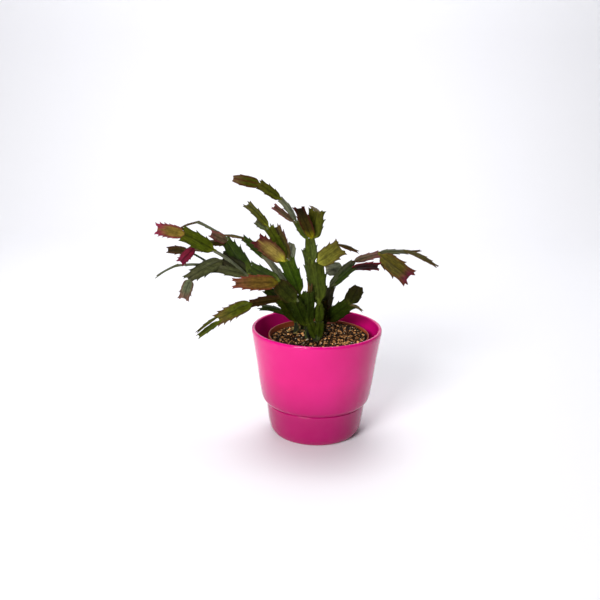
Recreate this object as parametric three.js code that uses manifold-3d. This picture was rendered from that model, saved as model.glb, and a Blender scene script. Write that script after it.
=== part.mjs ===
// A potted Christmas cactus: five rooted leafy stems in potting mix, inside a nursery pot that stands in a
// glazed cover pot. Millimetres, +Z up, front towards -Y. The origin is the middle of the cover pot's flat
// foot.
import * as THREE from "three";
import { mergeVertices } from "three/addons/utils/BufferGeometryUtils.js";
import Module from "manifold-3d";

const wasm = await Module();
wasm.setup();

const gap = 0.3; // clearance between two pieces that touch

// Cover pot: a flared body with a rounded shoulder over a narrower foot.
const coverPot = {
  height: 121,
  rimRadius: 71.2,
  wall: 3.4,
  floor: 5,
  footRadius: 50.2,
  footCurve: [
    [46.6, 0],
    [50.2, 5],
    [52.2, 12],
  ],
  footTopRadius: 54.8,
  grooveHeight: 36.8,
  shoulderRadius: 60.4,
  bodyRadii: [
    [63.4, 63],
    [65.8, 83],
    [68.7, 102],
  ],
  shoulderHeight: 43,
  sides: 38,
};

// Nursery pot: thin walled, with a collar under its rim. It stands a little off the cover pot's axis.
const nurseryPot = {
  rimRadius: 55.2,
  rimHeight: 112.5,
  footRadius: 38,
  collar: 10.5,
  collarStep: 1.8,
  wall: 1.2,
  footRing: 1.5,
  offsetX: 2.2,
  drainHoles: 6,
  drainRadius: 3.5,
  drainCircle: 24,
  sides: 38,
};

// Potting mix: its level, and the bark and grit that lie on it.
const soil = {
  level: 107,
  roughness: 0.8,
  heap: 4, // how much higher it lies at the right
  heapFrom: -5,
  heapTo: 45,
  rings: 5,
  sides: 24,
  chips: 44,
  smallestChip: 1.3,
  largestChip: 3.2,
  chipShape: [1.7, 1.2, 1], // length, width and thickness of a chip, as shares of its size
  chipTurn: 2.4, // radians from one chip to the next, so that they spread evenly
  chipTilt: 1.4,
};

// Leafy stems: flat segments, each with a midrib, toothed edges and two horns at its tip.
const segment = {
  ribHalf: 1.25,
  edgeHalf: 0.42,
  rooted: 16, // how deep a stem goes into the mix
  joint: 0.96, // where along its parent a segment is joined on
  corner: 0.34, // and how far out, when it grows from a corner
  sunk: 1.8, // how deep its neck reaches past the joint
  cup: 1.4, // how far the edges of the most cupped segments stand off the flat
  twist: 0.4, // radians from neck to tip in the most twisted
  toothDrift: 0.012,
  toothSpread: 0.12,
};

// Half of a segment's outline from neck to tip: along its length, and out from the midrib as a share of half
// its width. Each tooth is a point that leans forward over a short step back.
const outlines = {
  long: {
    edge: [
      [0, 0.22], [0.09, 0.24], [0.19, 0.72], [0.39, 1.09], [0.385, 0.9], [0.68, 1.22],
      [0.66, 0.94], [0.93, 1.1], [0.905, 0.8], [0.965, 0.68], [1.05, 0.7], [0.98, 0.34],
    ],
    rib: [0, 0.16, 0.37, 0.6, 0.8, 0.965],
  },
  full: {
    edge: [
      [0, 0.3], [0.06, 0.4], [0.16, 0.86], [0.49, 1.12], [0.485, 0.98], [0.74, 1.18],
      [0.72, 0.93], [0.95, 1.02], [0.925, 0.76], [0.965, 0.66], [1.05, 0.68], [0.98, 0.34],
    ],
    rib: [0, 0.13, 0.4, 0.65, 0.85, 0.965],
  },
  clawed: {
    edge: [
      [0, 0.3], [0.06, 0.38], [0.17, 0.81], [0.39, 1.03], [0.385, 0.94], [0.58, 1.17],
      [0.57, 0.95], [0.76, 1.2], [0.75, 0.88], [0.965, 0.66], [1.035, 0.68], [0.98, 0.34],
    ],
    rib: [0, 0.13, 0.4, 0.65, 0.85, 0.965],
  },
  tapered: {
    edge: [
      [0, 0.3], [0.06, 0.4], [0.16, 0.87], [0.45, 1.1], [0.445, 0.99], [0.65, 1.16],
      [0.64, 0.9], [0.84, 0.9], [0.83, 0.7], [0.965, 0.42], [1.04, 0.44], [0.98, 0.22],
    ],
    rib: [0, 0.13, 0.4, 0.65, 0.85, 0.965],
  },
  short: {
    edge: [
      [0, 0.24], [0.08, 0.28], [0.22, 0.79], [0.4, 1.08], [0.385, 0.9], [0.66, 1.18],
      [0.63, 0.91], [0.92, 0.75], [1.05, 0.71], [0.98, 0.34],
    ],
    rib: [0, 0.2, 0.5, 0.78, 0.96],
  },
  oval: {
    edge: [
      [0, 0.26], [0.08, 0.32], [0.18, 0.84], [0.49, 1.06], [0.495, 0.97], [0.75, 1],
      [0.755, 0.88], [0.93, 0.6], [0.99, 0.46], [0.98, 0.26],
    ],
    rib: [0, 0.2, 0.5, 0.78, 0.96],
  },
};

// The stems. root is where a stem leaves the mix, trunk is the top of its corky base, and trunkTop is how
// wide that is up there, as a share of trunkWidth, where it isn't drawn in. Each segment has: name, what it
// grows from, which corner of that tip (-1, 0 or 1), its tip's x, y and z, its width, how far its face is
// tipped up from facing the front in degrees, how far it arches up, and its outline.
const stems = {
  stem_centre: {
    root: [0.6, -5],
    trunk: [1.8, -5, 128],
    trunkWidth: 9,
    trunkTop: 1.15,
    segments: [
      ["C0", "trunk", 0, 2.7, -9, 150, 11, 10, 0, "oval"],
      ["C7", "root", -1, -7.5, -12, 129, 10, 0, 0, "clawed"],
      ["C8", "root", 1, 3.5, -12, 130, 9.5, 0, 0, "clawed"],
      ["C1", "C0", 0, -2.8, -5, 196, 19, 15, 1, "long"],
      ["C1b", "C0", -1, -11.5, 8, 205, 13, 5, 0, "full"],
      ["C2", "C1", -1, -9.5, 6, 218.5, 14.5, -20, 1, "short"],
      ["Z3", "C2", -1, -24.8, 8, 236, 10, -20, 1, "short"],
      ["Z1", "Z3", 0, -41.8, 6, 260, 9.5, 55, 2, "long"],
      ["UU", "Z1", 0, -63.3, -2, 276, 11, 30, 1, "long"],
      ["TT", "UU", 0, -90, -12, 282.5, 11.5, 20, 2, "oval"],
      ["Z2", "Z3", -1, -47.8, -4, 253.5, 6.5, 15, 1, "long"],
      ["AA", "C2", 1, -21, -14, 254, 13, -20, 1, "full"],
      ["BB", "C2", 1, -2.5, 2, 248.5, 18.5, 10, 1, "full"],
      ["CC", "BB", 1, -8.5, 20, 250, 5, 70, 0, "short"],
      ["DD", "C1", 1, 23.5, -18, 214, 19, 15, 1, "full"],
      ["EE", "DD", -1, 41.7, -16, 208.5, 6, 60, 1, "short"],
    ],
  },
  stem_centre_left: {
    root: [-10.6, 2],
    trunk: [-10.2, -5, 125],
    trunkWidth: 6.5,
    segments: [
      ["II", "trunk", 0, -19, -14, 161.5, 12, 10, 1, "full"],
      ["C6", "trunk", 1, -9, -17, 164.5, 12.5, 10, 0, "full"],
      ["HH", "trunk", 1, -8, -14.5, 172, 8, 0, 0, "tapered"],
      ["Y", "II", 0, -34.5, 4, 195, 18, 30, 1, "long"],
      ["R", "Y", 0, -54.5, 14, 228, 12, 35, 1, "long"],
      ["R2", "Y", 1, -47.5, 24, 227, 11, 35, 1, "long"],
      ["Q", "R", 0, -78.8, 26, 250.5, 10.5, 45, 2, "long"],
      ["Q2", "R", -1, -69, 28, 231.5, 9, 20, 1, "short"],
      ["T", "Y", -1, -64.5, -14, 220, 17.5, 0, 2, "clawed"],
      ["S", "Y", 1, -41, 34, 220, 7.5, 0, 1, "short"],
      ["S2", "Y", 1, -29.3, 26, 208.5, 12, -20, 0, "oval"],
      ["C5", "trunk", -1, -23.5, -22, 156, 15, 10, 1, "full"],
      ["N", "C5", 0, -43, -38, 180.5, 18.5, 10, 2, "oval"],
      ["M", "N", 0, -85, -52, 181.5, 15.5, 25, 1, "tapered"],
      ["P", "N", 1, -70.5, -24, 192.5, 13, -5, 1, "full"],
      ["G1", "C5", 1, -56.8, 6, 197.5, 11, 58, 1, "long"],
      ["U", "G1", 0, -81.8, 20, 214, 11, -20, 1, "tapered"],
      ["V", "U", 0, -101.8, 14, 218, 7, 80, 1, "short"],
    ],
  },
  stem_far_left: {
    root: [-14.8, 36],
    trunk: [-16.8, 33, 119],
    trunkWidth: 7,
    segments: [
      ["D1", "trunk", 0, -40, 20, 143.5, 15, 35, 1, "full"],
      ["D2", "D1", 0, -57.8, 8, 160.5, 13, 45, 1, "short"],
      ["D3", "D2", 0, -76.3, 14, 175.5, 13, 30, 0, "short"],
      ["W", "D3", 0, -102.8, 34, 208.5, 22, -15, 1, "tapered"],
      ["WA", "W", 0, -118.8, 28, 217, 11, 25, 1, "short"],
      ["WB", "W", -1, -121.8, 24, 207, 8, 40, 1, "short"],
      ["WC", "W", 1, -136.3, 52, 225.5, 7, 75, 1, "long"],
      ["WD", "WC", 0, -157.3, 60, 216.5, 4, 90, 1, "short"],
      ["X", "D3", -1, -112.3, 0, 204.5, 10, 86, 2, "long"],
      ["L2", "X", 0, -143.5, -14, 225, 16.5, 28, 2, "long"],
      ["L1", "L2", 0, -168.5, -20, 230, 14, 20, 2, "clawed"],
      ["XB", "X", -1, -133.5, -10, 207.5, 7.5, 40, 2, "short"],
      ["XM", "XB", 0, -145, -18, 194, 10.5, 10, 1, "clawed"],
      ["JB", "D3", 1, -106.5, 22, 190, 15, 10, 1, "full"],
      ["J", "D3", -1, -113, 10, 182.5, 11, 40, 1, "long"],
      ["H", "JB", -1, -140.5, -8, 173, 16, 30, 5, "tapered"],
      ["I", "H", 1, -143.5, -14, 153, 12.5, 10, 1, "full"],
      ["XD", "J", 0, -143.8, 18, 199.5, 5, 88, 1, "short"],
      ["XC", "XD", 0, -164.8, 14, 200.5, 11, -20, 1, "short"],
      ["G", "J", 1, -158.3, 30, 179.5, 10, 88, 2, "long"],
      ["G2", "G", 0, -181.8, 36, 165, 9, 86, 1, "short"],
    ],
  },
  stem_low_left: {
    root: [-22.6, 20],
    trunk: [-23, 18, 121],
    trunkWidth: 6.5,
    segments: [
      ["K00", "trunk", 0, -38.8, -14, 156, 13, 25, 1, "long"],
      ["K01", "trunk", 0, -26.8, -2, 147, 11, 15, 0, "long"],
      ["K0", "K00", 0, -71.3, -26, 152, 11.5, -25, 2, "full"],
      ["K1", "K0", 0, -103.3, -44, 140, 15, 30, 4, "clawed"],
      ["K2", "K1", -1, -122.8, -56, 130, 3.5, 50, 1, "short"],
      ["K3", "K1", 1, -123.3, -48, 122.5, 6.5, 30, 1, "short"],
      ["K0b", "trunk", -1, -62.5, 6, 140.5, 9.5, 70, 6, "long"],
    ],
  },
  stem_right: {
    root: [7.7, 24],
    trunk: [9.2, 22, 122],
    trunkWidth: 7,
    segments: [
      ["E1", "trunk", 0, 13.7, 16, 162, 13, -20, 1, "long"],
      ["E2", "trunk", -1, 7.2, 14, 147.5, 10, 0, 0, "full"],
      ["NN", "E1", 0, 40.2, 34, 187.5, 12.5, 50, 1, "oval"],
      ["NN2", "NN", 0, 69.7, 44, 193.5, 10, 50, 1, "long"],
      ["PP", "NN2", 0, 102, 26, 170.5, 20, 15, 2, "long"],
      ["QQ", "NN2", -1, 100.2, 56, 194, 10.5, 70, 1, "long"],
      ["RR", "QQ", 1, 116.7, 62, 194.5, 5, 70, 0, "short"],
      ["SS", "QQ", -1, 133.7, 46, 180, 9, 65, 2, "tapered"],
      ["NNb", "E1", 1, 40.2, 22, 183.5, 11.5, 60, 1, "long"],
      ["OO", "NNb", 0, 67.5, 28, 183, 14, -40, 1, "full"],
      ["E1b", "E1", 1, 29.7, 42, 178, 11, 70, 1, "short"],
      ["FF", "E1b", -1, 8.7, 52, 172, 15, 20, 1, "oval"],
      ["KK", "trunk", 1, 35.5, -14, 152.5, 16.5, 10, 1, "full"],
      ["LL", "KK", 0, 43.5, -20, 173, 17, -10, 1, "oval"],
      ["MM", "KK", 1, 47.7, -24, 146.5, 3.5, 60, 2, "short"],
    ],
  },
};

// A repeatable number from 0 to 1 for each whole number.
function scatter(index) {
  const wave = Math.sin(index * 12.9898) * 43758.5453;
  return wave - Math.floor(wave);
}

// Solids and meshes

function solidOf(geometry) {
  const bare = geometry.clone();
  bare.deleteAttribute("normal");
  bare.deleteAttribute("uv");
  const merged = mergeVertices(bare, 1e-4);
  return new wasm.Manifold(
    new wasm.Mesh({
      numProp: 3,
      vertProperties: merged.attributes.position.array,
      triVerts: new Uint32Array(merged.index.array),
    }),
  );
}

function geometryOf(solid) {
  const mesh = solid.getMesh();
  const geometry = new THREE.BufferGeometry();
  geometry.setAttribute("position", new THREE.BufferAttribute(mesh.vertProperties, 3));
  geometry.setIndex(new THREE.BufferAttribute(mesh.triVerts, 1));
  return geometry;
}

// The outer skin alone: a hollow that joining has sealed is filled, and a loose scrap is dropped.
function outerBody(solid) {
  const bodies = solid.asOriginal().simplify(0.01).decompose();
  return bodies.reduce((largest, body) => (body.volume() > largest.volume() ? body : largest));
}

// Three.js turns profiles about +Y, so the result is tipped up to turn about +Z.
function turned(profile, sides) {
  const points = profile.map(([radius, height]) => new THREE.Vector2(radius, height));
  return new THREE.LatheGeometry(points, sides).rotateX(Math.PI / 2);
}

function finished(name, geometry, color, roughness) {
  geometry.computeVertexNormals();
  const material = new THREE.MeshStandardMaterial({ color, roughness, metalness: 0 });
  const mesh = new THREE.Mesh(geometry, material);
  mesh.name = name;
  return mesh;
}

// Pots

function coverPotProfile() {
  const p = coverPot;
  const lip = p.wall / 2;
  const outside = [
    [0, 0],
    ...p.footCurve,
    [p.footTopRadius, p.grooveHeight - 1],
    [p.footTopRadius - 0.4, p.grooveHeight],
    [p.footTopRadius + 1.4, p.grooveHeight + 1],
    [p.shoulderRadius - 0.9, p.grooveHeight + 3],
    [p.shoulderRadius, p.shoulderHeight],
    ...p.bodyRadii,
    [p.rimRadius - 0.2, p.height - 4],
  ];
  const rim = [];
  for (let step = 0; step <= 4; step++) {
    const angle = (step * Math.PI) / 4;
    rim.push([p.rimRadius - lip + lip * Math.cos(angle), p.height - lip + lip * Math.sin(angle)]);
  }
  const inside = [
    ...[...p.bodyRadii].reverse().map(([radius, height]) => [radius - p.wall, height]),
    [p.shoulderRadius - p.wall, p.shoulderHeight],
    [p.footTopRadius - p.wall, p.grooveHeight - 3],
    [p.footRadius - p.wall, p.floor + 3],
    [p.footRadius - p.wall - 3, p.floor],
    [0, p.floor],
  ];
  return [...outside, ...rim, ...inside];
}

// The nursery pot's inner wall from its floor up, which the mix follows.
function nurseryPotInside() {
  const p = nurseryPot;
  const bottom = coverPot.floor + gap;
  const step = p.rimHeight - p.collar;
  const bodyTop = p.rimRadius - p.collarStep - p.wall;
  return [
    [p.footRadius - p.wall, bottom + p.footRing + p.wall],
    [bodyTop - 0.6, step - 1],
    [bodyTop + 0.8, step + 1],
    [p.rimRadius - p.wall, p.rimHeight - 1],
  ];
}

function nurseryPotSolid() {
  const p = nurseryPot;
  const bottom = coverPot.floor + gap;
  const step = p.rimHeight - p.collar;
  const profile = [
    [0, bottom + p.footRing],
    [p.footRadius - 3.5, bottom + p.footRing],
    [p.footRadius - 2.5, bottom],
    [p.footRadius, bottom],
    [p.rimRadius - p.collarStep - 0.8, step - 0.5],
    [p.rimRadius - 0.6, step],
    [p.rimRadius, p.rimHeight - 0.8],
    [p.rimRadius - 0.5, p.rimHeight],
    ...nurseryPotInside().reverse(),
    [0, bottom + p.footRing + p.wall],
  ];
  let pot = solidOf(turned(profile, p.sides));
  for (let hole = 0; hole < p.drainHoles; hole++) {
    const angle = (hole * 2 * Math.PI) / p.drainHoles;
    const drill = new THREE.CylinderGeometry(p.drainRadius, p.drainRadius, 12, 12)
      .rotateX(Math.PI / 2)
      .translate(p.drainCircle * Math.cos(angle), p.drainCircle * Math.sin(angle), bottom);
    pot = pot.subtract(solidOf(drill));
  }
  return geometryOf(pot).translate(p.offsetX, 0, 0);
}

// Potting mix

function mixLevel(x) {
  const share = THREE.MathUtils.smoothstep(x + nurseryPot.offsetX, soil.heapFrom, soil.heapTo);
  return soil.level + soil.heap * share;
}

function roughTop(geometry) {
  const position = geometry.attributes.position;
  const edge = nurseryPotInside()[2][0] - 1;
  for (let i = 0; i < position.count; i++) {
    const x = position.getX(i);
    const y = position.getY(i);
    if (position.getZ(i) < soil.level - 0.01) continue;
    const lump = Math.hypot(x, y) > edge ? 0 : scatter(Math.round(x * 7) + Math.round(y * 11) * 31) - 0.5;
    position.setZ(i, mixLevel(x) + 2 * soil.roughness * lump);
  }
  return geometry;
}

function soilSolid() {
  const inside = nurseryPotInside();
  const top = inside[2][0] - gap + 0.1;
  const profile = [
    [0, inside[0][1] + gap],
    [inside[0][0] - gap - 0.2, inside[0][1] + gap],
    [inside[1][0] - gap, inside[1][1]],
    [inside[2][0] - gap, inside[2][1] + 0.4],
    [top, soil.level],
  ];
  for (let ring = soil.rings - 1; ring >= 0; ring--) profile.push([(top * ring) / soil.rings, soil.level]);
  let mix = solidOf(roughTop(turned(profile, soil.sides)).translate(nurseryPot.offsetX, 0, 0));

  let draw = 0;
  for (let chip = 0; chip < soil.chips; chip++) {
    const size = soil.smallestChip + (soil.largestChip - soil.smallestChip) * scatter(++draw) ** 2;
    const reach = (top - size - 1.5) * Math.sqrt((chip + 0.5) / soil.chips);
    const angle = chip * soil.chipTurn + 0.4 * scatter(++draw);
    const x = reach * Math.cos(angle);
    const place = new THREE.Vector3(
      nurseryPot.offsetX + x,
      reach * Math.sin(angle),
      mixLevel(x) + 0.2 * size,
    );
    const blocked = Object.values(stems).some(({ root, trunkWidth }) => {
      const apart = Math.hypot(place.x - root[0], place.y - root[1]);
      return apart < trunkWidth / 2 + size + 1.5;
    });
    if (blocked) continue;
    const shape = new THREE.BoxGeometry(...soil.chipShape.map((share) => share * size))
      .rotateX(soil.chipTilt * (scatter(++draw) - 0.5))
      .rotateY(soil.chipTilt * (scatter(++draw) - 0.5))
      .rotateZ(2 * Math.PI * scatter(++draw))
      .translate(place.x, place.y, place.z);
    mix = mix.add(solidOf(shape));
  }

  for (const { root, trunkWidth } of Object.values(stems)) {
    const depth = segment.rooted + gap;
    const radius = trunkWidth / 2 + gap;
    const hole = new THREE.CylinderGeometry(radius, radius, depth + 8, 12)
      .rotateX(Math.PI / 2)
      .translate(root[0], root[1], soil.level - depth + (depth + 8) / 2);
    mix = mix.subtract(solidOf(hole));
  }
  return geometryOf(outerBody(mix));
}

// Leafy stems

// The frame of a segment from its neck to its tip. face points out of its flat side and up is the side that
// it arches to.
function segmentFrame(from, to, turnDegrees) {
  const length = from.distanceTo(to);
  const along = to.clone().sub(from).normalize();
  const front = new THREE.Vector3(0, -1, 0);
  front.addScaledVector(along, -front.dot(along)).normalize();
  const upper = along.clone().cross(front);
  if (upper.z < 0) upper.negate();
  const turn = THREE.MathUtils.degToRad(turnDegrees);
  const face = front.multiplyScalar(Math.cos(turn)).addScaledVector(upper, Math.sin(turn));
  const across = face.clone().cross(along);
  if (across.x < 0) {
    across.negate();
    face.negate();
  }
  return { from, length, along, across, face, up: face.z < 0 ? -1 : 1 };
}

// A place in a segment: share of its length, share of half its width, and height off its middle surface.
function placeIn(seg, share, out, off) {
  const { frame, bow, cup, twist, half } = seg;
  const angle = twist * (share - 0.5);
  const across = frame.across.clone().applyAxisAngle(frame.along, angle);
  const face = frame.face.clone().applyAxisAngle(frame.along, angle);
  const lift = frame.up * bow * 4 * share * (1 - share) + cup * out * out + off;
  return frame.from
    .clone()
    .addScaledVector(frame.along, share * frame.length)
    .addScaledVector(across, out * half)
    .addScaledVector(face, lift);
}

// The row's closed shape: a top and a bottom face that rise to the midrib, joined by a narrow rim.
function segmentGeometry(seg) {
  const { edge, rib } = seg;
  const points = [];
  const faces = [];
  const add = (place) => points.push(place) - 1;
  const columns = { rib: [], right: [], left: [] };
  const ribHalf = (share) => segment.ribHalf * (1.15 - 0.4 * share);
  for (const off of [1, -1]) {
    columns.rib.push(rib.map((share) => add(placeIn(seg, share, 0, off * ribHalf(share)))));
    for (const [side, name] of [[1, "right"], [-1, "left"]]) {
      columns[name].push(
        edge.map(([share, out], i) => {
          const drift = segment.toothDrift * (scatter(seg.index * 53 + i * 7 + side) - 0.5);
          const tooth = out > 0.95 ? segment.toothSpread * (scatter(seg.index * 31 + i * 5 + side) - 0.5) : 0;
          return add(placeIn(seg, share + drift, side * (out + tooth), off * segment.edgeHalf));
        }),
      );
    }
  }

  const triangle = (a, b, c, flip) => faces.push(...(flip ? [a, c, b] : [a, b, c]));
  for (const [side, name] of [[1, "right"], [-1, "left"]]) {
    for (const level of [0, 1]) {
      const flip = (side < 0) !== (level === 1);
      const middle = columns.rib[level];
      const outer = columns[name][level];
      let i = 0;
      let j = 0;
      while (i < middle.length - 1 || j < outer.length - 1) {
        const stepRib = j === outer.length - 1 || (i < middle.length - 1 && rib[i + 1] <= edge[j + 1][0]);
        if (stepRib) triangle(middle[i], middle[++i], outer[j], flip);
        else triangle(middle[i], outer[j + 1], outer[j++], flip);
      }
    }
    const top = [...columns[name][0], columns.rib[0].at(-1)];
    const bottom = [...columns[name][1], columns.rib[1].at(-1)];
    for (let k = 0; k < top.length - 1; k++) {
      triangle(top[k], top[k + 1], bottom[k + 1], side < 0);
      triangle(top[k], bottom[k + 1], bottom[k], side < 0);
    }
    triangle(columns.rib[0][0], top[0], bottom[0], side < 0);
    triangle(columns.rib[0][0], bottom[0], columns.rib[1][0], side < 0);
  }
  const geometry = new THREE.BufferGeometry().setFromPoints(points);
  geometry.setIndex(faces);
  return geometry;
}

// A corky base: a plug that stands straight in the mix, and a stub that leans from it to the first segment.
function trunkSolid(stem) {
  const wide = stem.trunkWidth / 2;
  const collar = soil.level + 1.5;
  const root = new THREE.Vector3(stem.root[0], stem.root[1], collar - 1);
  const top = new THREE.Vector3(...stem.trunk);
  const along = top.clone().sub(root);
  const stub = new THREE.CylinderGeometry(wide * (stem.trunkTop ?? 0.62), wide, along.length(), 10)
    .scale(1, 1, 0.8)
    .translate(0, along.length() / 2, 0);
  const lean = new THREE.Quaternion().setFromUnitVectors(new THREE.Vector3(0, 1, 0), along.normalize());
  const plug = new THREE.CylinderGeometry(wide, wide * 0.7, segment.rooted, 10)
    .rotateX(Math.PI / 2)
    .translate(root.x, root.y, collar - segment.rooted / 2);
  return solidOf(stub.applyQuaternion(lean).translate(root.x, root.y, root.z)).add(solidOf(plug));
}

function stemSolid(stem, firstIndex) {
  let solid = trunkSolid(stem);
  const placed = {};
  const trunkTop = new THREE.Vector3(...stem.trunk);
  const root = new THREE.Vector3(...stem.root, soil.level);
  stem.segments.forEach(([name, on, corner, x, y, z, width, turn, bow, outline], i) => {
    const tip = new THREE.Vector3(x, y, z);
    let joint;
    if (on === "trunk") joint = trunkTop.clone().add(new THREE.Vector3(corner * 1.5, 0, -1));
    else if (on === "root") joint = root.clone().add(new THREE.Vector3(corner * 1.5, -2, 3));
    else joint = placeIn(placed[on], segment.joint, corner * segment.corner, 0);
    const neck = joint.addScaledVector(tip.clone().sub(joint).normalize(), -segment.sunk);
    const index = firstIndex + i;
    placed[name] = {
      frame: segmentFrame(neck, tip, turn),
      half: width / 2,
      bow,
      cup: segment.cup * (scatter(index * 3 + 1) - 0.5),
      twist: segment.twist * (scatter(index * 3 + 2) - 0.5),
      index,
      ...outlines[outline],
    };
    solid = solid.add(solidOf(segmentGeometry(placed[name])));
  });
  return geometryOf(outerBody(solid));
}

const part = new THREE.Group();
part.add(finished("cachepot", turned(coverPotProfile(), coverPot.sides), 0xd01a7c, 0.12));
part.add(finished("nursery_pot", nurseryPotSolid(), 0x8a3318, 0.55));
part.add(finished("soil", soilSolid(), 0x4a3222, 0.95));
let segmentCount = 0;
for (const [name, stem] of Object.entries(stems)) {
  part.add(finished(name, stemSolid(stem, segmentCount), 0x3f5a1c, 0.45));
  segmentCount += stem.segments.length;
}

export default part;
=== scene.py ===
# A Christmas cactus growing in a thin nursery pot, which stands inside a glossy cover pot.
# Sizes are typed in millimetres and turned to metres when a piece is finished. z is up and the front is -y.
import math
import random

import bmesh
import bpy
from mathutils import Matrix, Vector, noise


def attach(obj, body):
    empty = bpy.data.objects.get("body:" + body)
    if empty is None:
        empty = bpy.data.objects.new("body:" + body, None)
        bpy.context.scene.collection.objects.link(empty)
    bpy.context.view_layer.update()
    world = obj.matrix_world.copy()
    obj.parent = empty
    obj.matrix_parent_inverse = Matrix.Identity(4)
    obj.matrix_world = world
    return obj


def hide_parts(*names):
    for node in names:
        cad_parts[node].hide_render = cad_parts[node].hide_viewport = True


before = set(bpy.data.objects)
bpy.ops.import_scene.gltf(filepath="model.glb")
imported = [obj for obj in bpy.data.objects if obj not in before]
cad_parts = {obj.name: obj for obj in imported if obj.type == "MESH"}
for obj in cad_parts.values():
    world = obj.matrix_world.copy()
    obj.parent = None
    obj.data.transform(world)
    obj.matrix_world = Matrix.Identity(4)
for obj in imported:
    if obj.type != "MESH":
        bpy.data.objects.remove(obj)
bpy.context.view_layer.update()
mm = 0.001
weld = 0.001            # points of a turned piece that are closer than this, in millimetres, become one
print("frame loaded:", ", ".join(sorted(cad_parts)))


# Small tools

def toLinear(hexText):
    # an sRGB hex value as the linear colour that a shader wants
    channels = [int(hexText[i:i + 2], 16) / 255 for i in (1, 3, 5)]
    return [c / 12.92 if c <= 0.04045 else ((c + 0.055) / 1.055) ** 2.4 for c in channels] + [1]


def blendOf(a, b, share):
    return [p + (q - p) * share for p, q in zip(a, b)]


def smoothStep(low, high, value):
    share = min(1, max(0, (value - low) / (high - low)))
    return share * share * (3 - 2 * share)


def scatter(index):
    # a repeatable number from 0 to 1 for each whole number, the same as in the part's source
    wave = math.sin(index * 12.9898) * 43758.5453
    return wave - math.floor(wave)


def addNode(tree, kind, settings=None, links=None):
    # a setting is a property of the node, or the value of an input given by its name or number, or the
    # places and colours that a colour ramp goes between
    node = tree.nodes.new("ShaderNode" + kind)
    for key, value in (settings or {}).items():
        if key == "stops":
            for stop, (position, hexText) in zip(node.color_ramp.elements, value):
                stop.position = position
                stop.color = toLinear(hexText)
        elif isinstance(key, str) and hasattr(node, key):
            setattr(node, key, value)
        else:
            node.inputs[key].default_value = value
    for key, source in (links or {}).items():
        tree.links.new(source, node.inputs[key])
    return node


def newMaterial(name, shaderSettings):
    material = bpy.data.materials.new(name)
    material.use_nodes = True
    tree = material.node_tree
    tree.nodes.clear()
    shader = addNode(tree, "BsdfPrincipled", shaderSettings)
    addNode(tree, "OutputMaterial", links={"Surface": shader.outputs["BSDF"]})
    return material, tree, shader


def finishSurface(tree, shader, color, relief, strength, distance):
    # gives a material its colour and its relief, which is this many metres high
    tree.links.new(color, shader.inputs["Base Color"])
    bump = addNode(tree, "Bump", {"Strength": strength, "Distance": distance}, {"Height": relief})
    tree.links.new(bump.outputs["Normal"], shader.inputs["Normal"])


def addObject(name, data):
    added = bpy.data.objects.new(name, data)
    bpy.context.scene.collection.objects.link(added)
    return added


def meshObject(name, bm, smooth=True):
    for face in bm.faces:
        face.smooth = smooth
    mesh = bpy.data.meshes.new(name)
    bm.to_mesh(mesh)
    bm.free()
    return addObject(name, mesh)


def makePiece(name, bm, materials, replaced=None, smooth=True):
    # turns a bmesh in millimetres into a finished piece of the object
    bmesh.ops.scale(bm, vec=(mm, mm, mm), verts=bm.verts)
    piece = meshObject(name, bm, smooth)
    for material in materials:
        piece.data.materials.append(material)
    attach(piece, "root")
    if replaced:
        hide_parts(replaced)
    print(name, "made,", sum(len(p.vertices) - 2 for p in piece.data.polygons), "triangles")
    return piece


def roundedProfile(corners, steps=5, mostOfSide=0.45):
    # corners are (radius, height, rounding); each corner gives way to a short curve
    points = []
    for i, (radius, height, rounding) in enumerate(corners):
        corner = Vector((radius, height))
        if rounding == 0 or i in (0, len(corners) - 1):
            points.append(corner)
            continue
        before = Vector(corners[i - 1][:2]) - corner
        after = Vector(corners[i + 1][:2]) - corner
        start = corner + before.normalized() * min(rounding, before.length * mostOfSide)
        end = corner + after.normalized() * min(rounding, after.length * mostOfSide)
        for step in range(steps + 1):
            share = step / steps
            points.append(start.lerp(corner, share).lerp(corner.lerp(end, share), share))
    return points


def turnProfile(profile, steps, offsetX=0):
    bm = bmesh.new()
    points = [bm.verts.new((radius, 0, height)) for radius, height in profile]
    edges = [bm.edges.new(pair) for pair in zip(points, points[1:])]
    bmesh.ops.spin(bm, geom=points + edges, cent=(0, 0, 0), axis=(0, 0, 1), angle=2 * math.pi,
                   steps=steps, use_merge=True)
    bmesh.ops.remove_doubles(bm, verts=bm.verts, dist=weld)
    bmesh.ops.recalc_face_normals(bm, faces=bm.faces)
    bmesh.ops.translate(bm, vec=(offsetX, 0, 0), verts=bm.verts)
    return bm


def drillHoles(piece, holes, sides=32):
    # holes are (x, y, radius, lowest, highest) in millimetres; they are cut once, so no modifier stays
    bm = bmesh.new()
    for x, y, radius, low, high in holes:
        bmesh.ops.create_cone(bm, cap_ends=True, segments=sides, radius1=radius * mm, radius2=radius * mm,
                              depth=(high - low) * mm,
                              matrix=Matrix.Translation((x * mm, y * mm, (low + high) / 2 * mm)))
    drill = meshObject("drill", bm, smooth=False)
    cut = piece.modifiers.new("cut", "BOOLEAN")
    cut.operation = "DIFFERENCE"
    cut.solver = "EXACT"
    cut.object = drill
    bpy.context.view_layer.update()
    evaluated = piece.evaluated_get(bpy.context.evaluated_depsgraph_get())
    cutMesh = bpy.data.meshes.new_from_object(evaluated)
    piece.modifiers.remove(cut)
    oldMesh, drillMesh = piece.data, drill.data
    name = oldMesh.name
    piece.data = cutMesh
    bpy.data.meshes.remove(oldMesh)
    cutMesh.name = name
    bpy.data.objects.remove(drill)
    bpy.data.meshes.remove(drillMesh)


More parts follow.
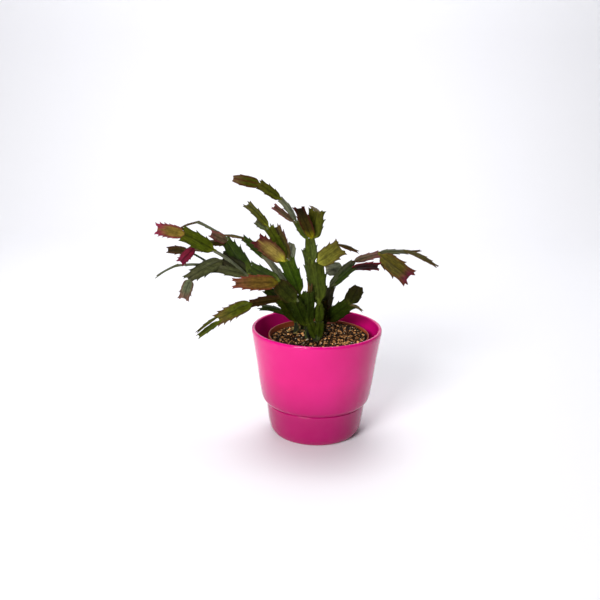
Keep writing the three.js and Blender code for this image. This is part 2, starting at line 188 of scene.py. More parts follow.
def sharpEdges(piece, degrees):
    # edges that turn more than this stay crisp in an otherwise smooth shading
    bm = bmesh.new()
    bm.from_mesh(piece.data)
    limit = math.radians(degrees)
    for edge in bm.edges:
        if len(edge.link_faces) == 2 and edge.calc_face_angle(0) > limit:
            edge.smooth = False
    bm.to_mesh(piece.data)
    bm.free()


# Camera: the photograph's own viewpoint, a little above the rim

camera = dict(
    place=(-0.0018, -0.8170, 0.3815),
    tiltDegrees=74.22,
    turnDegrees=1.19,
    rollDegrees=0.75,
    lens=46.9,
)

cameraData = bpy.data.cameras.new("camera")
cameraData.lens = camera["lens"]
cameraData.sensor_width = 36
cameraData.dof.use_dof = False
cameraObject = addObject("camera", cameraData)
turned = (Matrix.Rotation(math.radians(camera["turnDegrees"]), 4, "Z")
          @ Matrix.Rotation(math.radians(camera["tiltDegrees"]), 4, "X")
          @ Matrix.Rotation(math.radians(camera["rollDegrees"]), 4, "Z"))
cameraObject.matrix_world = Matrix.Translation(camera["place"]) @ turned
bpy.context.scene.camera = cameraObject


# Materials

# A noise texture's Scale is how many of its patches fit in a metre, so 900 makes one every 1.1 mm. In
# leafMaterial the place is in millimetres, so there it is how many fit in a millimetre.

def glazeMaterial():
    # magenta glazed earthenware: dipped and fired, so mirror-smooth, with the faint unevenness that a fired
    # glaze keeps. Its colour is painted darker towards the foot, a painted shade that stands in for the dark
    # reflection low on the body.
    material, tree, shader = newMaterial("magentaGlaze", {
        "Roughness": 0.14, "IOR": 1.5, "Specular IOR Level": 0.32})
    place = addNode(tree, "TexCoord").outputs["Object"]
    cloud = addNode(tree, "TexNoise", {"Scale": 14.0, "Detail": 3.0}, {"Vector": place})
    tone = addNode(tree, "ValToRGB", {"stops": [(0.3, "#cc0a70"), (0.75, "#dc1480")]},
                   {"Fac": cloud.outputs["Fac"]})
    level = addNode(tree, "SeparateXYZ", links={"Vector": place}).outputs["Z"]
    # painted shade: from here the colour is scaled darker towards the foot
    depth = addNode(tree, "MapRange", {"From Min": 0.03, "From Max": 0.078, "To Min": 0.55, "To Max": 1.0},
                    {"Value": level})
    toneWithPaintedShade = addNode(tree, "VectorMath", {"operation": "SCALE"},
                       {0: tone.outputs["Color"], "Scale": depth.outputs[0]})
    swell = addNode(tree, "TexNoise", {"Scale": 22.0, "Detail": 1.0}, {"Vector": place})
    grain = addNode(tree, "TexNoise", {"Scale": 900.0, "Detail": 1.0}, {"Vector": place})
    height = addNode(tree, "Math", {"operation": "MULTIPLY_ADD", 1: 0.02},
                     {0: grain.outputs["Fac"], 2: swell.outputs["Fac"]})
    finishSurface(tree, shader, toneWithPaintedShade.outputs["Vector"], height.outputs[0], 0.25, 0.0006)
    return material


def plasticMaterial():
    # terracotta-brown polypropylene, thermoformed thin: satin, with fine scuffs and dried mix dust on it
    material, tree, shader = newMaterial("brownPolypropylene", {"Roughness": 0.48, "IOR": 1.49})
    place = addNode(tree, "TexCoord").outputs["Object"]
    dust = addNode(tree, "TexNoise", {"Scale": 60.0, "Detail": 6.0, "Roughness": 0.7}, {"Vector": place})
    tone = addNode(tree, "ValToRGB", {"stops": [(0.35, "#8c3818"), (0.72, "#a2512c")]},
                   {"Fac": dust.outputs["Fac"]})
    finishSurface(tree, shader, tone.outputs["Color"], dust.outputs["Fac"], 0.3, 0.0002)
    return material


def mixMaterial(name, dark, light, roughness, scale):
    # crumbled bark and peat: matt, fibrous, and different from crumb to crumb
    material, tree, shader = newMaterial(name, {
        "Roughness": roughness, "IOR": 1.4, "Specular IOR Level": 0.12})
    place = addNode(tree, "TexCoord").outputs["Object"]
    crumb = addNode(tree, "TexNoise", {"Scale": scale, "Detail": 8.0, "Roughness": 0.7}, {"Vector": place})
    ownTone = addNode(tree, "Attribute", {"attribute_name": "ownTone"})
    share = addNode(tree, "Math", {"operation": "MULTIPLY_ADD", 1: 0.55},
                    {0: crumb.outputs["Fac"], 2: ownTone.outputs["Fac"]})
    tone = addNode(tree, "ValToRGB", {"stops": [(0.2, dark), (0.95, light)]}, {"Fac": share.outputs[0]})
    finishSurface(tree, shader, tone.outputs["Color"], crumb.outputs["Fac"], 0.6, 0.0005)
    return material


def leafMaterial():
    # waxy cactus skin: a smooth cuticle over green flesh, satin, with fine lengthwise streaks, a pitted
    # grain and faint side veins. leafColor is the colour of the place, and leafPlace is (along, across, own)
    # in millimetres from the neck and from the midrib.
    material, tree, shader = newMaterial("waxyCactusSkin", {
        "Roughness": 0.46, "IOR": 1.42, "Specular IOR Level": 0.08})
    color = addNode(tree, "Attribute", {"attribute_name": "leafColor"}).outputs["Color"]
    place = addNode(tree, "Attribute", {"attribute_name": "leafPlace"}).outputs["Vector"]
    stretched = addNode(tree, "Mapping", {"Scale": (0.12, 0.95, 1.0)}, {"Vector": place})
    streak = addNode(tree, "TexNoise", {"Scale": 1.0, "Detail": 4.0, "Roughness": 0.6},
                     {"Vector": stretched.outputs["Vector"]})
    blotch = addNode(tree, "TexNoise", {"Scale": 0.28, "Detail": 3.0}, {"Vector": place})
    streakTone = addNode(tree, "MapRange", {"From Min": 0.3, "From Max": 0.7, "To Min": 0.52, "To Max": 1.42},
                         {"Value": streak.outputs["Fac"]})
    blotchTone = addNode(tree, "MapRange", {"From Min": 0.3, "From Max": 0.7, "To Min": 0.74, "To Max": 1.24},
                         {"Value": blotch.outputs["Fac"]})
    shade = addNode(tree, "Math", {"operation": "MULTIPLY"},
                    {0: streakTone.outputs[0], 1: blotchTone.outputs[0]})
    toned = addNode(tree, "VectorMath", {"operation": "SCALE"}, {0: color, "Scale": shade.outputs[0]})
    # side veins run forward and outward from the midrib, about 5 mm apart
    parts = addNode(tree, "SeparateXYZ", links={"Vector": place})
    outward = addNode(tree, "Math", {"operation": "ABSOLUTE"}, {0: parts.outputs["Y"]})
    slant = addNode(tree, "Math", {"operation": "MULTIPLY_ADD", 1: -0.9},
                    {0: outward.outputs[0], 2: parts.outputs["X"]})
    wave = addNode(tree, "Math", {"operation": "MULTIPLY", 1: 1.25}, {0: slant.outputs[0]})
    vein = addNode(tree, "Math", {"operation": "SINE"}, {0: wave.outputs[0]})
    grain = addNode(tree, "TexNoise", {"Scale": 2.2, "Detail": 3.0}, {"Vector": place})
    relief = addNode(tree, "Math", {"operation": "MULTIPLY_ADD", 1: 0.12},
                     {0: vein.outputs[0], 2: grain.outputs["Fac"]})
    ridged = addNode(tree, "Math", {"operation": "MULTIPLY_ADD", 1: 0.7},
                     {0: streak.outputs["Fac"], 2: relief.outputs[0]})
    finishSurface(tree, shader, toned.outputs["Vector"], ridged.outputs[0], 0.5, 0.0004)
    return material


def corkMaterial():
    # corky bark of an old stem: dry, matt and furrowed lengthwise. Its colour is painted darker in the
    # furrows and lighter on the ridges, a painted shade and light that follow the relief.
    material, tree, shader = newMaterial("corkyStemBark", {"Roughness": 0.85, "IOR": 1.4})
    color = addNode(tree, "Attribute", {"attribute_name": "leafColor"}).outputs["Color"]
    place = addNode(tree, "TexCoord").outputs["Object"]
    stretched = addNode(tree, "Mapping", {"Scale": (1.0, 1.0, 0.14)}, {"Vector": place})
    furrow = addNode(tree, "TexNoise", {"Scale": 560.0, "Detail": 5.0, "Roughness": 0.65},
                     {"Vector": stretched.outputs["Vector"]})
    # painted shade: the colour is darker where the relief is low, in the furrows, and lighter on the ridges
    shade = addNode(tree, "MapRange", {"From Min": 0.35, "From Max": 0.65, "To Min": 0.35, "To Max": 1.6},
                    {"Value": furrow.outputs["Fac"]})
    toned = addNode(tree, "VectorMath", {"operation": "SCALE"}, {0: color, "Scale": shade.outputs[0]})
    finishSurface(tree, shader, toned.outputs["Vector"], furrow.outputs["Fac"], 0.8, 0.0006)
    return material


glaze = glazeMaterial()
plastic = plasticMaterial()
leafSkin = leafMaterial()
cork = corkMaterial()
print("materials made")


# Cover pot

# each corner of a section is a radius, a height and how far before and after it the rounding goes
coverPot = dict(
    steps=160,
    section=[
        (0, 0, 0), (46.8, 0, 3.6), (50.4, 6, 3), (51.8, 12, 5), (53.2, 20, 6), (54.8, 35.8, 0.5),
        # groove and shoulder
        (53.8, 36.6, 0.4), (56.2, 37.6, 0.9), (59.2, 40.8, 2.2), (60.6, 45.4, 3.5),
        # body and rim
        (63.4, 63, 8), (65.8, 83, 8), (68.7, 102, 8),
        (70.8, 115, 4), (71.3, 118.2, 1.8), (70.7, 121.0, 1.8), (67.6, 121.0, 1.8), (67.2, 117.4, 2),
        # inside
        (65.2, 102, 8), (60.0, 63, 8), (57.0, 42.5, 4), (51.5, 33.5, 4), (47.4, 9, 4), (44.5, 5, 3),
        (0, 5, 0),
    ],
)
makePiece("coverPot", turnProfile(roundedProfile(coverPot["section"]), coverPot["steps"]), [glaze],
          "cachepot")


# Nursery pot

nurseryPot = dict(
    steps=128,
    cornerSteps=3,
    offsetX=2.2,        # it stands a little off the cover pot's axis
    section=[
        (0, 6.8, 0), (34.5, 6.8, 0.6), (35.5, 5.3, 0.4), (38.0, 5.3, 1),
        # collar
        (52.6, 101.5, 0.6), (54.6, 102.0, 0.5), (55.2, 111.7, 0.5), (54.9, 112.5, 0.4),
        # inside
        (54.1, 112.4, 0.4), (53.0, 103.2, 0.6), (51.6, 101.0, 0.8), (36.8, 8.0, 1), (0, 8.0, 0),
    ],
    drainHoles=6,
    drainRadius=3.5,
    drainCircle=24,
    drainDepth=(5.0, 9.5),
    crispDegrees=50,
)
nurseryProfile = roundedProfile(nurseryPot["section"], nurseryPot["cornerSteps"])
nurseryTurned = turnProfile(nurseryProfile, nurseryPot["steps"], nurseryPot["offsetX"])
nurseryPiece = makePiece("nurseryPot", nurseryTurned, [plastic], "nursery_pot")
drains = []
for hole in range(nurseryPot["drainHoles"]):
    angle = hole * 2 * math.pi / nurseryPot["drainHoles"]
    drains.append((nurseryPot["offsetX"] + nurseryPot["drainCircle"] * math.cos(angle),
                   nurseryPot["drainCircle"] * math.sin(angle),
                   nurseryPot["drainRadius"], *nurseryPot["drainDepth"]))
drillHoles(nurseryPiece, drains)
sharpEdges(nurseryPiece, nurseryPot["crispDegrees"])


# Potting mix: a crumbly bed, and the bark and grit that lie on it

soilBed = dict(
    level=107,
    topRadius=52.4,
    rings=36,
    steps=132,
    # how high, how many in a millimetre, and a number that sets the pattern: slow swells, then fine ones
    swells=[(1.3, 0.07, 3.1), (0.7, 0.35, 8.7)],
    heap=4.0,           # how much higher the mix lies at the right
    heapAcross=(-5, 45),
    side=[(0, 8.6), (36.2, 8.6), (51.0, 100.5), (52.4, 103.3)],
    ownTone=0.12,       # how light the bed is, from 0 to 1; the crumbs on it each have their own
    dark="#0a0604",
    light="#2c1e14",
    roughness=0.95,
    grainScale=420.0,
    holeClearance=0.25,
    holeDepth=16.3,
    holeAbove=8,        # how far above the mix the stems' holes are cut
)


def soilHeight(x, y):
    height = soilBed["level"] + soilBed["heap"] * smoothStep(*soilBed["heapAcross"], x)
    for high, scale, pattern in soilBed["swells"]:
        height += high * noise.noise(Vector((x * scale, y * scale, pattern)))
    return height


def soilPiece(stems):
    top = [(soilBed["topRadius"] * ring / soilBed["rings"], soilBed["level"])
           for ring in range(soilBed["rings"], -1, -1)]
    bm = turnProfile(soilBed["side"] + top, soilBed["steps"], nurseryPot["offsetX"])
    ownTone = bm.verts.layers.float.new("ownTone")
    for vert in bm.verts:
        vert[ownTone] = soilBed["ownTone"]
        if vert.co.z > soilBed["level"] - 0.01:
            vert.co.z = soilHeight(vert.co.x, vert.co.y)
    material = mixMaterial("pottingMixPeat", soilBed["dark"], soilBed["light"], soilBed["roughness"],
                           soilBed["grainScale"])
    piece = makePiece("pottingMix", bm, [material], "soil")
    holes = [(*stem["root"], stem["trunkWidth"] / 2 + soilBed["holeClearance"],
              soilBed["level"] - soilBed["holeDepth"], soilBed["level"] + soilBed["holeAbove"])
             for stem in stems.values()]
    drillHoles(piece, holes)


# How many there are, their smallest and largest size, how thin they are and how far over the mix their middle
# lies, both as shares of their size, and their darkest and lightest colour. The dried scraps of old leaves
# lie between the stems, and the rest lie all over the mix.
chipKinds = dict(
    darkBark=dict(count=980, smallest=1.1, largest=3.8, thin=0.5, lift=0.12, seed=3,
                  dark="#0b0603", light="#452c18"),
    tanBark=dict(count=640, smallest=0.9, largest=3.3, thin=0.5, lift=0.26, seed=5,
                 dark="#643818", light="#e0a468"),
    paleGrit=dict(count=230, smallest=0.7, largest=1.6, thin=0.75, lift=0.32, seed=7,
                  dark="#a08a6c", light="#e6d8bd"),
    driedScraps=dict(count=34, smallest=2.0, largest=5.2, thin=0.14, lift=0.4, seed=11,
                     dark="#40341a", light="#a08c54", middle=(-23, 24), spread=13),
)
chipShape = dict(
    smallOnes=2.2,      # the higher, the more of them are small
    clearOfStem=0.6,
    clearOfPot=0.6,
    long=(1.0, 1.7),
    wide=(0.7, 1.1),
    thick=(0.7, 1.3),
    tilt=0.4,           # radians
    ragged=0.16,
    toneReach=0.75,
    roughness=0.9,
    grainScale=700.0,
)


def chipPiece(name, kind, stems):
    draw = random.Random(kind["seed"])
    bm = bmesh.new()
    ownTone = bm.verts.layers.float.new("ownTone")
    middle = kind.get("middle", (nurseryPot["offsetX"], 0))
    made = 0
    while made < kind["count"]:
        share = draw.random() ** chipShape["smallOnes"]
        size = kind["smallest"] + (kind["largest"] - kind["smallest"]) * share
        spread = kind.get("spread", soilBed["topRadius"] - chipShape["clearOfPot"])
        reach = (spread - size / 2) * math.sqrt(draw.random())
        angle = draw.uniform(0, 2 * math.pi)
        x = middle[0] + reach * math.cos(angle)
        y = middle[1] + reach * math.sin(angle)
        clear = all(math.hypot(x - stem["root"][0], y - stem["root"][1])
                    > stem["trunkWidth"] / 2 + size * chipShape["clearOfStem"] for stem in stems.values())
        if not clear:
            continue
        stretch = Matrix.Diagonal((draw.uniform(*chipShape["long"]), draw.uniform(*chipShape["wide"]),
                                   kind["thin"] * draw.uniform(*chipShape["thick"]), 1))
        spin = (Matrix.Rotation(draw.uniform(0, 2 * math.pi), 4, "Z")
                @ Matrix.Rotation(draw.gauss(0, chipShape["tilt"]), 4, "X")
                @ Matrix.Rotation(draw.gauss(0, chipShape["tilt"]), 4, "Y"))
        height = soilHeight(x, y) + kind["lift"] * size
        chip = bmesh.ops.create_icosphere(bm, subdivisions=1, radius=size / 2,
                                          matrix=Matrix.Translation((x, y, height)) @ spin @ stretch)
        tone = draw.random() * chipShape["toneReach"]
        ragged = chipShape["ragged"]
        for vert in chip["verts"]:
            vert.co += Vector([draw.uniform(-ragged, ragged) * size for _ in range(3)])
            vert[ownTone] = tone
        made += 1
    material = mixMaterial(name + "Crumb", kind["dark"], kind["light"], chipShape["roughness"],
                           chipShape["grainScale"])
    makePiece(name, bm, [material], smooth=False)


# Leafy stems

# Colours of a segment: at its neck, on its face, at its tip, along its edges and on its midrib. Where none is
# given, the midrib is the face painted darker, a painted shade along the raised rib. reach is how far in from
# the edge the edge colour comes, and tipFrom is where along the segment the tip colour begins.
toneDefaults = dict(reach=0.4, tipFrom=0.5)
leafTones = dict(
    fresh=dict(neck="#62680f", face="#414b0a", tip="#484c0e", edge="#383c0b", reach=0.35),
    green=dict(neck="#4e5c14", face="#3a480c", tip="#3c480e", edge="#2d380a", reach=0.35),
    vivid=dict(neck="#4c5c12", face="#33480a", tip="#3c4a0e", edge="#26370a", reach=0.35),
    oliveDeep=dict(neck="#4e5818", face="#404b14", tip="#3c4210", edge="#2b320c"),
    goldenGreen=dict(neck="#585c12", face="#474b0a", tip="#484610", edge="#34360c"),
    dustyRose=dict(neck="#5e5032", face="#6a5240", tip="#643c34", edge="#64302e", reach=0.45),
    old=dict(neck="#3c4812", face="#36430c", tip="#38420e", edge="#2c340c"),
    deep=dict(neck="#485214", face="#27350a", tip="#2d390c", edge="#1f2909"),
    # painted shade: a near-black tone for segments that lie in deep shadow, with their underside turned to
    # view
    darkest=dict(neck="#343c0e", face="#232407", tip="#241f08", edge="#1c1a06"),
    darkOlive=dict(neck="#3c4610", face="#2d340a", tip="#33300d", edge="#332810"),
    olive=dict(neck="#626618", face="#46480f", tip="#484412", edge="#3a2e12"),
    clawedOlive=dict(neck="#4a5410", face="#444a0a", tip="#5a4c1c", edge="#52301a", reach=0.35),
    golden=dict(neck="#86842e", face="#5f5c1e", tip="#524c16", edge="#46341a", reach=0.3),
    flushedGold=dict(neck="#b0aa30", face="#907c3c", tip="#541f22", edge="#4c141e", rib="#98843f",
                     reach=0.78),
    flushedDark=dict(neck="#7c740c", face="#322a08", tip="#170e06", edge="#40140f", reach=0.45),
    goldenBlush=dict(neck="#605614", face="#4a420e", tip="#5c0e2e", edge="#502a14", reach=0.35,
                     tipFrom=0.68),
    blush=dict(neck="#806a28", face="#6e5a24", tip="#741c34", edge="#721236", rib="#665620", reach=0.5),
    magenta=dict(neck="#4c1422", face="#641426", tip="#701634", edge="#5c0a24"),
    maroon=dict(neck="#341a12", face="#2c1210", tip="#341412", edge="#7a1626"),
    russetGold=dict(neck="#564c0e", face="#60481a", tip="#6a3e2a", edge="#682822"),
    rose=dict(neck="#564a2e", face="#604e38", tip="#683e3a", edge="#6a2830", reach=0.45),
    brown=dict(neck="#3a300e", face="#382c0c", tip="#3e2a14", edge="#402016", reach=0.5),
    brownOlive=dict(neck="#4c4620", face="#464018", tip="#4c3c1e", edge="#4c2c1a", reach=0.45),
    withered=dict(neck="#5a5030", face="#5f5434", tip="#5c4c34", edge="#4a3c26", reach=0.5),
    # painted sheen: the grey tones from here to pale paint in the grey sheen that glossy, upward-facing
    # segments reflect
    paintedSheenGreyish=dict(neck="#54583a", face="#484d30", tip="#4c4c32", edge="#3c4026"),
    paintedSheenGreyOlive=dict(neck="#4c4c2e", face="#434628", tip="#46442c", edge="#34361e"),
    paintedSheenGreyBlush=dict(neck="#50563c", face="#545a40", tip="#6c4c40", edge="#5c3a30", reach=0.5),
    pale=dict(neck="#5e6248", face="#6c7058", tip="#6a6852", edge="#565a40", reach=0.3),
    # painted light: the palest tone, for a segment that lies in the shade of others, painted light enough to
    # look lit and sheened
    paintedLightPale=dict(neck="#7e8466", face="#8e927a", tip="#84806a", edge="#6e6e58", reach=0.3),
    striped=dict(neck="#4c4c12", face="#3e4008", tip="#604a30", edge="#4a1c14", rib="#481810", reach=0.5),
)
# the corky base's dark and light colour; its furrows take the dark one and its ridges the light one, a
# painted shade
corkTones = ("#0c1206", "#424c18")

# Half of a segment's outline, from neck to tip: share of its length, and share of half its width. teeth are
# where each begins, where its point is and how wide the point stands, and horn is how far the corners of the
# tip reach past it.
outlines = dict(
    long=dict(
        base=[(0, 0.2), (0.08, 0.2), (0.11, 0.26), (0.145, 0.5), (0.2, 0.75), (0.29, 0.88), (0.42, 0.94),
              (0.64, 0.96), (0.8, 0.9), (0.9, 0.81), (0.965, 0.68)],
        teeth=[(0.22, 0.38, 1.12), (0.44, 0.66, 1.28), (0.72, 0.91, 1.16)],
        horn=0.085,
    ),
    full=dict(
        base=[(0, 0.28), (0.04, 0.3), (0.07, 0.44), (0.11, 0.7), (0.17, 0.88), (0.28, 0.97), (0.45, 1.0),
              (0.66, 0.97), (0.82, 0.88), (0.92, 0.78), (0.965, 0.66)],
        teeth=[(0.32, 0.48, 1.14), (0.54, 0.72, 1.24), (0.78, 0.93, 1.1)],
        horn=0.085,
    ),
    clawed=dict(
        base=[(0, 0.28), (0.04, 0.3), (0.07, 0.42), (0.11, 0.66), (0.18, 0.84), (0.3, 0.95), (0.5, 0.98),
              (0.7, 0.94), (0.84, 0.86), (0.92, 0.76), (0.965, 0.62)],
        teeth=[(0.26, 0.38, 1.06), (0.42, 0.56, 1.2), (0.6, 0.73, 1.28), (0.76, 0.87, 1.22),
               (0.88, 0.955, 1.0)],
        horn=0.07,
    ),
    tapered=dict(
        base=[(0, 0.28), (0.04, 0.3), (0.065, 0.44), (0.1, 0.7), (0.17, 0.9), (0.27, 0.99), (0.42, 1.0),
              (0.6, 0.94), (0.76, 0.8), (0.88, 0.62), (0.965, 0.42)],
        teeth=[(0.3, 0.44, 1.14), (0.48, 0.63, 1.24), (0.68, 0.81, 1.06), (0.84, 0.93, 0.8)],
        horn=0.08,
    ),
    short=dict(
        base=[(0, 0.22), (0.06, 0.22), (0.1, 0.34), (0.145, 0.56), (0.22, 0.8), (0.37, 0.92), (0.61, 0.93),
              (0.8, 0.86), (0.92, 0.75), (0.96, 0.7)],
        teeth=[(0.22, 0.39, 1.12), (0.44, 0.64, 1.24)],
        horn=0.1,
    ),
    oval=dict(
        base=[(0, 0.24), (0.065, 0.25), (0.095, 0.38), (0.135, 0.64), (0.19, 0.86), (0.3, 0.97), (0.5, 1.0),
              (0.68, 0.95), (0.82, 0.82), (0.92, 0.62), (0.965, 0.48)],
        teeth=[(0.3, 0.48, 1.06), (0.54, 0.74, 1.02)],
        horn=0.03,
    ),
)

segmentShape = dict(
    ribHalf=1.25,
    ribAtNeck=1.15,     # how much of the rib's height is there at the neck
    ribFalls=0.4,       # and how much of it is lost on the way to the tip
    ridge=0.38,         # the part of that height that stands up from the blade
    ribWide=1.5,        # how far the raised midrib reaches to either side
    edgeHalf=0.42,
    neckEnds=(0.03, 0.2),   # from where to where along it the round neck turns into the flat blade
    joint=0.96,         # where along its parent a segment is joined on
    corner=0.34,        # and how far out, when it grows from a corner
    sunk=1.8,
    cup=1.4,
    twist=0.4,
    toothSpread=0.12,
    toothLean=0.045,    # how far a tooth's point leans forward
    toothBase=0.7,      # how far out from the midrib the teeth begin, and the horns
    hornBase=0.45,
    hornLong=0.13,
    wave=0.35,          # how far the edges wave off the flat
    waveTurn=8,         # radians of the wave from neck to tip
    evenRows=32,
    rowsAtTooth=(-0.03, -0.012, 0, 0.009),
    clearOfTooth=0.034, # even rows nearer than this to a tooth's point are left out
    rowAtNeck=0.012,
    rowsAtEnd=(-0.006, -0.016),
    endRound=0.9,
    edgeStain=0.85,     # how strongly the edges are coloured, and the rib
    # the rib's colour is its own where a tone gives one, and otherwise painted shade along the raised midrib
    ribColourAndShade=0.75,
    ribColourAndShadeWide=0.85,
    weld=0.004,         # points closer than this become one
    # painted shade: a midrib without its own colour is painted darker than the face, for the shade along the
    # raised rib
    ribPaintedShade=0.6,       # how much darker than the face a midrib without its own colour is
)
patternStep = (50, 40)  # how far apart segments lie in leafPlace, so that each has its own pattern

jointShape = dict(
    size=1.15,
    growth=0.06,        # what half the segment's width adds to that, in each millimetre
    stretch=(1.15, 1.3, 0.95),      # across, along and through the segment
    barkShare=0.3,
    # where a corner of the trunk's top or of the root is: to its side, back and up
    trunk=(1.5, 0, -1),
    root=(1.5, -2, 3),
)

trunkShape = dict(
    rows=36,
    around=28,
    rooted=14.5,        # how deep its foot is in the mix
    collar=0.8,         # how far over the mix it begins to lean
    collarAt=0.38,      # the share of its rows up to there
    footShare=0.7,      # its radius at the foot and the top, as shares of that at the collar
    topShare=0.62,
    overTop=0.6,
    ridges=5,
    ridgeHigh=0.09,
    furrowHigh=0.16,
    smoothInMix=0.3,
    knuckles=34,        # radians of them from foot to top
    knuckleHigh=0.06,
    roundRows=22,       # one of this many parts of it rounds off each end
    flattened=0.86,
)
# columns from the midrib to the edge, closest where the rib and the teeth need them
halfColumns = [0, 0.07, 0.16, 0.28, 0.42, 0.58, 0.72, 0.83, 0.91, 0.965, 1]

